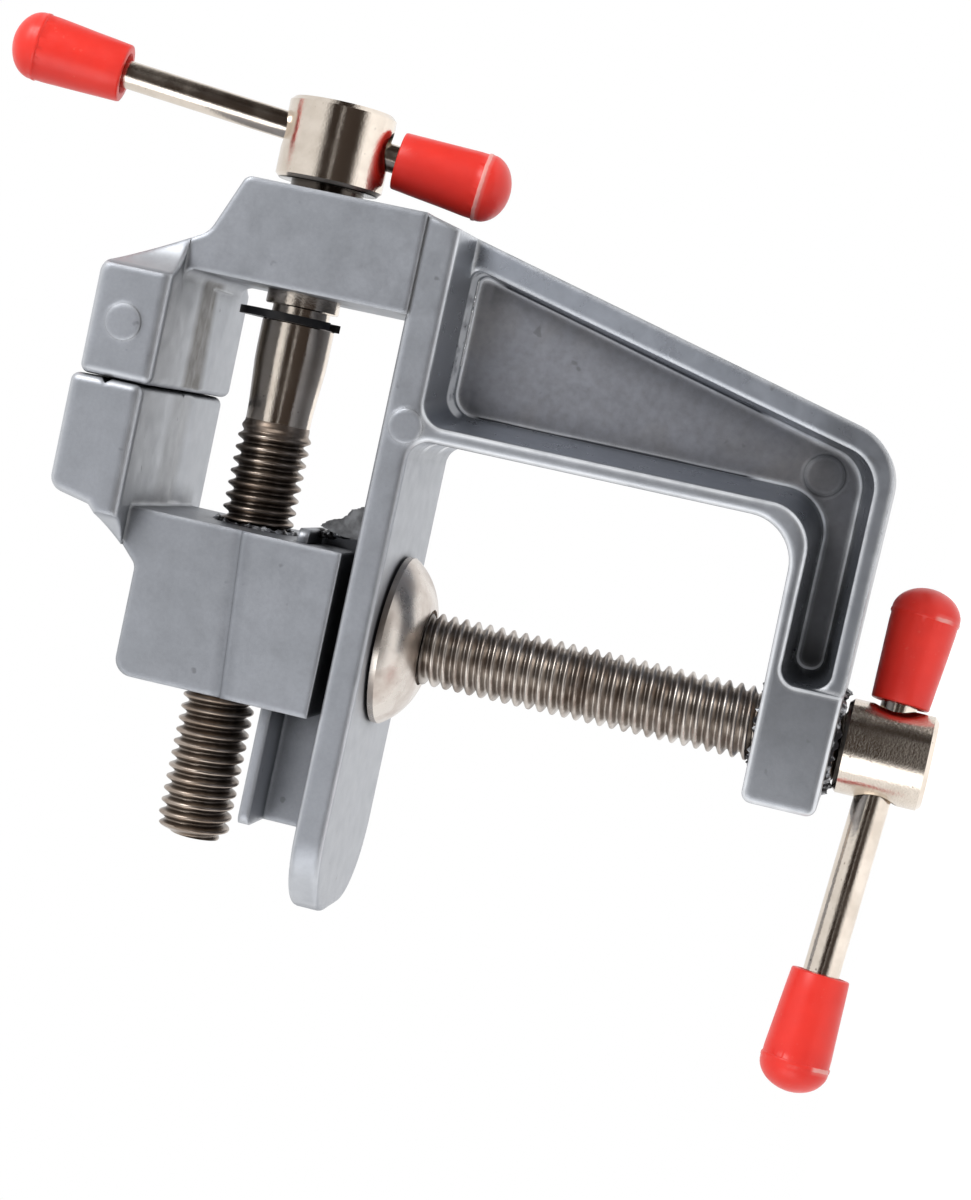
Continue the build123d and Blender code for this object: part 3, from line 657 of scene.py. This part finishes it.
def make_pad_nickel():
    """Pressed and plated sheet, softer in gloss than the hubs."""
    shader = Shader("pad_nickel")
    smudge = shader.patches(260, 4, 0.38, 0.7)
    color = shader.mix(smudge, rgb(0.60, 0.555, 0.51), rgb(0.40, 0.335, 0.295))
    pits = shader.patches(1800, 2, 0.30, 0.25, roughness=0.5)
    return shader.use(
        Base_Color=shader.mix(shader.product(pits, 0.4), color, rgb(0.14, 0.11, 0.09)),
        Metallic=1.0,
        Roughness=shader.ramp(smudge, 0.0, 1.0, 0.26, 0.36),
        Normal=shader.bump(shader.noise(900), 0.18, 0.05),
    )


# The jaw screw lies above this span and the clamp screw below it, with its neck at the pad
JAW_SCREW_TONE_Z = (4.0, 9.0)
JAW_SCREW_TONE_SHARE = 0.55
CLAMP_NECK_Z = (-4.5, -2.5)


def make_screw_steel():
    """Rolled thread: plated steel with brown grime in places and painted shade in its roots. The jaw
    screw is browner and darker, with more painted shade in its roots, and the clamp screw's
    neck gets painted shade too."""
    shader = Shader("screw_steel")
    _, _, z = shader.place()
    grime = shader.patches(420, 4, 0.40, 0.66)
    color = shader.mix(grime, rgb(0.50, 0.455, 0.415), rgb(0.24, 0.195, 0.165))
    jaw_screw_tone = shader.past(z, JAW_SCREW_TONE_Z, end=JAW_SCREW_TONE_SHARE)
    color = shader.mix(jaw_screw_tone, color, rgb(0.27, 0.205, 0.155))
    # Painted shade in the thread's roots and at the clamp screw's neck
    root = shader.product(shader.crevice(0.9), shader.ramp(jaw_screw_tone, 0.0, JAW_SCREW_TONE_SHARE, start=0.4))
    neck_shade = shader.inside(z, CLAMP_NECK_Z, 0.3)
    root_and_neck_shade = shader.largest(root, shader.product(neck_shade, 0.75))
    return shader.use(
        Base_Color=shader.mix(root_and_neck_shade, color, rgb(0.035, 0.027, 0.022)),
        Metallic=1.0,
        Roughness=shader.ramp(grime, 0.0, 1.0, 0.28, 0.42),
        Normal=shader.bump(shader.noise(1500), 0.3, 0.05),
    )


def make_clip_black():
    """Black oxide on spring steel, slightly rubbed."""
    shader = Shader("clip_black")
    rub = shader.patches(900, 3, 0.5, 0.75, end=0.5)
    return shader.use(
        Base_Color=shader.mix(rub, rgb(0.010, 0.010, 0.012), rgb(0.05, 0.047, 0.045)),
        Metallic=0.2,
        Roughness=0.42,
        Normal=shader.bump(shader.noise(1200), 0.2, 0.05),
    )


def make_cap_red():
    """Dipped soft vinyl: strong red, half gloss, with a fine uneven skin and torn pale flash."""
    shader = Shader("cap_red")
    tone = shader.patches(180, 3, 0.35, 0.65)
    color = shader.mix(tone, rgb(0.84, 0.036, 0.022), rgb(0.76, 0.028, 0.018))
    dust = shader.patches(1500, 2, 0.68, 0.76, end=0.2)
    color = shader.mix(dust, color, rgb(0.80, 0.16, 0.12))
    flash = shader.add("ShaderNodeAttribute", attribute_name="flash").outputs["Fac"]
    return shader.use(
        Base_Color=shader.mix(shader.product(flash, 0.8), color, rgb(0.84, 0.42, 0.38)),
        Subsurface_Weight=0.12,
        Subsurface_Scale=1.0 * MM,
        Specular_IOR_Level=0.4,
        Roughness=shader.patches(600, 3, 0.3, 0.7, 0.30, 0.42),
        Normal=shader.bump(shader.noise(700, 4), 0.14, 0.08),
    )


materials = {
    "casting": Casting().finish(),
    "burr": make_burr(),
    "torn_metal": make_torn_metal(),
    "flash_painted_highlight": make_flash_painted_highlight(),
    "bright_nickel": make_nickel(),
    "pad_nickel": make_pad_nickel(),
    "screw_steel": make_screw_steel(),
    "clip_black": make_clip_black(),
    "cap_red": make_cap_red(),
}


def finish_piece(piece, slot, body, *nodes, look=None):
    """Gives a new piece the material of its look, or else of its record slot, and its body, and what it stands
    for.
    """
    piece.data.materials.clear()
    piece.data.materials.append(materials[look or slot])
    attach(piece, body)
    if nodes:
        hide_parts(*nodes)
    return piece


def clean_shading(node):
    """Even shading on a frame node: welded, split at its real edges, with weighted normals."""
    node.data.shade_smooth()
    weld = node.modifiers.new("weld", "WELD")
    weld.merge_threshold = 0.0005 * MM
    split = node.modifiers.new("split", "EDGE_SPLIT")
    split.use_edge_sharp = False
    split.split_angle = math.radians(28)
    normals = node.modifiers.new("normals", "WEIGHTED_NORMAL")
    normals.weight = 100


# Frame nodes keep their meshes and take the better materials
node_slots = {row["node"]: row["material_slot"] for row in frame["record"]["subparts"]}
node_looks = {"clamp_pad": "pad_nickel"}
for name, node in frame["nodes"].items():
    for holder in node.material_slots:
        holder.material = materials[node_looks.get(name, node_slots[name])]
    clean_shading(node)

# Jaw screw with its real thread
JAW_TIP_CHAMFER = 0.9
SHANK_RADIUS = 3.75
SHANK_SMALL_RADIUS = 3.35
SHANK_BLEND_START_X = JAW_THREAD_END_X - 0.6
SHANK_CONE_START_X = 19.2
SHANK_CONE_END_X = 26.0
GROOVE_START_X = 29.5
GROOVE_END_X = GROOVE_START_X + 1.6
GROOVE_RADIUS = 3.0
JOURNAL_RADIUS = 3.8
CHAMFER = 0.12


def jaw_screw_outline(along):
    """Radius over the crests: a chamfered tip, then the thread, which blends into the shank."""
    tip = JAW_SCREW_TIP_X + JAW_TIP_CHAMFER
    if along < tip:
        return THREAD_RADIUS - (tip - along)
    blend = fade(along, SHANK_BLEND_START_X, SHANK_CONE_START_X)
    return THREAD_RADIUS + (SHANK_SMALL_RADIUS - THREAD_RADIUS) * blend


def jaw_screw_cut(along):
    return 1 - fade(along, JAW_THREAD_END_X - THREAD_RUNOUT, SHANK_CONE_START_X)


jaw_axis = axis_frame((0, 0, JAW_SCREW_Z), (1, 0, 0))
jaw_thread = threaded_rod(
    "jaw_screw_thread",
    jaw_axis,
    jaw_screw_outline,
    JAW_SCREW_TIP_X,
    SHANK_CONE_START_X,
    jaw_screw_cut,
)
finish_piece(jaw_thread, "screw_steel", "jaw_spindle", "jaw_screw")
jaw_shank = lathe(
    "jaw_screw_shank",
    [
        (SHANK_CONE_START_X - 0.3, SHANK_SMALL_RADIUS - 0.2),
        (SHANK_CONE_START_X - 0.1, SHANK_SMALL_RADIUS),
        (SHANK_CONE_START_X + 1.5, SHANK_SMALL_RADIUS + 0.03),
        (SHANK_CONE_END_X - 0.8, SHANK_RADIUS - 0.03),
        (SHANK_CONE_END_X + 0.4, SHANK_RADIUS),
        (GROOVE_START_X - CHAMFER, SHANK_RADIUS),
        (GROOVE_START_X, SHANK_RADIUS - CHAMFER),
        (GROOVE_START_X, GROOVE_RADIUS),
        (GROOVE_END_X, GROOVE_RADIUS),
        (GROOVE_END_X, JOURNAL_RADIUS - CHAMFER),
        (GROOVE_END_X + CHAMFER, JOURNAL_RADIUS),
        (JAW_HUB_START_X, JOURNAL_RADIUS),
    ],
    jaw_axis,
)
finish_piece(jaw_shank, "bright_nickel", "jaw_spindle")

# Clamp screw with its real thread, measured down from the table seat
CLAMP_THREAD_START = 3.4
LEAD_DEPTH = 0.5
clamp_axis = axis_frame((0, 0, 0), (0, 0, -1))


def clamp_screw_outline(along):
    """Radius over the crests, with a short lead at the pad."""
    return THREAD_RADIUS - LEAD_DEPTH * (1 - fade(along, CLAMP_THREAD_START, CLAMP_THREAD_START + 0.8))


def clamp_screw_cut(along):
    return fade(along, CLAMP_THREAD_START - 0.5, CLAMP_THREAD_START + 1.2)


clamp_thread = threaded_rod(
    "clamp_screw_thread",
    clamp_axis,
    clamp_screw_outline,
    CLAMP_THREAD_START,
    -CLAMP_HUB_START_Z,
    clamp_screw_cut,
)
finish_piece(clamp_thread, "screw_steel", "clamp_spindle", "clamp_screw")

# Soft caps, turned pieces in place of the frame's plain ones. A cap's mouth is given as its
# distance from the hub's axis.
joint_axes = {joint["name"]: Vector(joint["axis"]) for joint in frame["joints"]}
jaw_bar_way = -joint_axes["jaw_handle_slide"]
clamp_bar_way = joint_axes["clamp_handle_slide"]
jaw_bar_center = Vector((JAW_HUB_HOLE_X, 0, JAW_SCREW_Z))
clamp_bar_center = Vector((0, 0, CLAMP_HUB_HOLE_Z))
caps = [
    ("jaw_handle_cap_upper", jaw_bar_center, jaw_bar_way, 22.77, JAW_BAR_RADIUS, 11, -0.1),
    ("jaw_handle_cap_lower", jaw_bar_center, -jaw_bar_way, 6.53, JAW_BAR_RADIUS, 23, 1.0),
    ("clamp_handle_cap_front", clamp_bar_center, clamp_bar_way, 5.2, CLAMP_BAR_RADIUS, 37, -0.1),
    ("clamp_handle_cap_back", clamp_bar_center, -clamp_bar_way, 22.7, CLAMP_BAR_RADIUS, 41, -0.3),
]
for node, center, way, mouth, bar_radius, seed, torn in caps:
    place = axis_frame(center + way * mouth, way)
    cap = soft_cap(node + "_soft", place, bar_radius, seed, torn)
    body = "jaw_handle" if node.startswith("jaw") else "clamp_handle"
    finish_piece(cap, "cap_red", body, node)

# Torn metal round the screws, left by tapping
BURR_INNER_RADIUS = 3.92
rings = [
    ("leg_burr_inner", (0, 0, LEG_INNER_Z), (0, 0, 1), BURR_INNER_RADIUS, 5.0, 0.95, "body", 5),
    ("leg_burr_outer", (0, 0, LEG_OUTER_Z), (0, 0, -1), 4.95, 6.0, 1.1, "body", 6),
    ("slide_burr", (SLIDE_BLOCK_END_X, 0, JAW_SCREW_Z), (1, 0, 0), BURR_INNER_RADIUS, 5.1, 0.7, "jaw", 9),
]
for name, origin, way, inner, outer, height, body, seed in rings:
    ring = ragged_ring(name, axis_frame(origin, way), inner, outer, height, seed)
    finish_piece(ring, "casting", body, look="burr")

# Rough lumps and a sheared flap at the rail's end
lumps = [
    ("rail_lump_a", (9.9, -5.6, 6.0), (0.6, 1.0, 1.2), 4),
    ("rail_lump_b", (9.3, -3.4, 8.4), (0.5, 0.8, 1.4), 27),
    ("rail_lump_c", (9.5, -4.6, 7.3), (0.5, 0.7, 0.8), 31),
]
for name, center, size, seed in lumps:
    finish_piece(lump(name, center, size, seed), "casting", "body", look="burr")
FLAP_Y = -6.2
FLAP_THICKNESS = 1.4
FLAP_OUTLINE = [
    (9.5, 3.1),
    (9.6, 5.8),
    (10.2, 8.1),
    (11.0, 7.0),
    (11.4, 5.9),
    (12.4, 5.2),
    (12.9, 4.2),
    (12.6, 3.1),
]
flap = torn_flap("rail_flap", FLAP_OUTLINE, FLAP_Y, FLAP_THICKNESS, 2)
finish_piece(flap, "casting", "body", look="torn_metal")

# Flash left at the foot of the pocket's wall at the plate, coloured bright as a painted highlight
STRIP_Y = -2.75
STRIP_Z = -1.75
STRIP_STEP = 0.15
STRIP_RISE = 0.35
STRIP_HALF = 0.22
STRIP_SUNK = 0.15
STRIP_SEED = 12


def flash_strip(name, start_x, end_x):
    """Thin broken ridge along X, half sunk in the corner between the pocket's wall and its web."""
    draw = random.Random(STRIP_SEED)
    count = round(abs(end_x - start_x) / STRIP_STEP)
    vertices = []
    for step in range(count + 1):
        x = start_x + (end_x - start_x) * step / count
        rise = STRIP_RISE * draw.uniform(0.75, 1.0)
        half = STRIP_HALF * draw.uniform(0.8, 1.0)
        for z, y in ((-half, STRIP_SUNK), (-half * 0.7, -rise), (half * 0.7, -rise), (half, STRIP_SUNK)):
            vertices.append(Vector((x, STRIP_Y + y, STRIP_Z + z)))
    faces = [(3, 2, 1, 0)]
    for step in range(count):
        a = 4 * step
        for row in range(4):
            after = (row + 1) % 4
            faces.append((a + row, a + after, a + 4 + after, a + 4 + row))
    faces.append(tuple(4 * count + row for row in range(4)))
    return link(name, vertices, faces, smooth_angle=25)


for name, start_x, end_x in (("strip_a", 38.6, 37.9), ("strip_b", 37.6, 34.9), ("strip_c", 34.6, 28.8)):
    finish_piece(flash_strip(name, start_x, end_x), "casting", "body", look="flash_painted_highlight")

# Camera, fitted to the edges of the object in the photograph
CAMERA_PLACE = (24.49, -261.67, -49.91)
CAMERA_RIGHT = Vector((0.21239, 0.16576, -0.96302))
CAMERA_DOWN = Vector((-0.97473, -0.03382, -0.22080))
CAMERA_LENS = 78.03
CAMERA_SENSOR = 36.0
CAMERA_NEAR = 10.0


def make_camera():
    data = bpy.data.cameras.new("camera")
    data.lens = CAMERA_LENS
    data.sensor_width = CAMERA_SENSOR
    data.clip_start = CAMERA_NEAR * MM
    camera = bpy.data.objects.new("camera", data)
    bpy.context.scene.collection.objects.link(camera)
    right = CAMERA_RIGHT.normalized()
    back = -right.cross(CAMERA_DOWN).normalized()
    up = back.cross(right)
    rotation = Matrix((right, up, back)).transposed().to_4x4()
    camera.matrix_world = Matrix.Translation(mm(*CAMERA_PLACE)) @ rotation
    bpy.context.scene.camera = camera


# Floor, world, lamps and dark cards
FLOOR_Z = -95
FLOOR_HALF = 3000
FLOOR_COLOR = rgb(0.9, 0.9, 0.9)
FLOOR_GLOW = 0.6
WORLD_COLOR = rgb(1.0, 1.0, 1.0)
WORLD_LEVEL = 0.6
CARD_COLOR = rgb(0.030, 0.019, 0.013)
LAMP_TARGET = (15, 0, -10)
X_WAY = Vector((1, 0, 0))
Y_WAY = Vector((0, 1, 0))
Z_WAY = Vector((0, 0, 1))


def plane(name, place, half_width, half_height):
    corners = [(-1, -1), (1, -1), (1, 1), (-1, 1)]
    vertices = [place @ Vector((x * half_width, y * half_height, 0)) for x, y in corners]
    return link(name, vertices, [(0, 1, 2, 3)])


def make_floor():
    """Pale floor that keeps the object's shadow and glows a little where it is looked at."""
    floor = plane("floor", axis_frame((0, 0, FLOOR_Z), Z_WAY), FLOOR_HALF, FLOOR_HALF)
    material = bpy.data.materials.new("floor")
    material.use_nodes = True
    nodes = Nodes(material.node_tree)
    nodes.tree.nodes.clear()
    diffuse = nodes.add("ShaderNodeBsdfDiffuse", {"Color": FLOOR_COLOR}).outputs[0]
    strength = nodes.product(nodes.seen_directly(), FLOOR_GLOW)
    glow = nodes.add("ShaderNodeEmission", {"Strength": strength}).outputs[0]
    both = nodes.add("ShaderNodeAddShader", {0: diffuse, 1: glow}).outputs[0]
    nodes.add("ShaderNodeOutputMaterial", {"Surface": both})
    floor.data.materials.append(material)


def make_world():
    """World that is white where it is looked at and dimmer as a light."""
    world = bpy.data.worlds.new("world")
    bpy.context.scene.world = world
    world.use_nodes = True
    nodes = Nodes(world.node_tree)
    background = nodes.tree.nodes["Background"]
    nodes.put(background.inputs["Color"], WORLD_COLOR)
    level = nodes.ramp(nodes.seen_directly(), 0.0, 1.0, WORLD_LEVEL, 1.0)
    nodes.put(background.inputs["Strength"], level)


def make_lamp(name, place, size, power):
    """Square lamp that points at the object; its power is in watts."""
    data = bpy.data.lights.new(name, "AREA")
    data.shape = "SQUARE"
    data.size = size * MM
    data.energy = power
    lamp = bpy.data.objects.new(name, data)
    bpy.context.scene.collection.objects.link(lamp)
    direction = Vector(LAMP_TARGET) - Vector(place)
    rotation = direction.to_track_quat("-Z", "Y").to_matrix().to_4x4()
    lamp.matrix_world = Matrix.Translation(mm(*place)) @ rotation


def make_dark_card(name, center, width_way, height_way, half_size, soft):
    """Dark card out of the picture, for the dark bands that bright metal shows. It fades out
    towards its edges over the soft widths, and only reflections see it."""
    card = plane(name, Matrix.Identity(4), *half_size)
    rotation = Matrix((width_way, height_way, width_way.cross(height_way))).transposed().to_4x4()
    card.matrix_world = Matrix.Translation(mm(*center)) @ rotation
    shader = Shader(name)
    across, along, _ = shader.place()
    shares = []
    for position, half, fading in zip((across, along), half_size, soft):
        shares.append(shader.past(shader.math("ABSOLUTE", position), (half, half - fading)))
    shader.use(Base_Color=CARD_COLOR, Roughness=1.0, Alpha=shader.product(*shares))
    card.data.materials.append(shader.material)
    card.visible_camera = False
    card.visible_diffuse = False
    card.visible_shadow = False


make_camera()
make_floor()
make_world()
make_lamp("key", (320, -300, 260), 220, 1.35)
make_lamp("fill", (-260, -330, 60), 300, 0.42)
make_dark_card("card_low", (420, -250, FLOOR_Z + 1), X_WAY, Y_WAY, (580, 215), (90, 40))
make_dark_card("card_front", (640, -470, 20), X_WAY, Z_WAY, (860, 200), (160, 130))
make_dark_card("card_side", (700, -20, 20), Y_WAY, Z_WAY, (520, 200), (60, 130))

bpy.context.scene.view_settings.view_transform = "Standard"
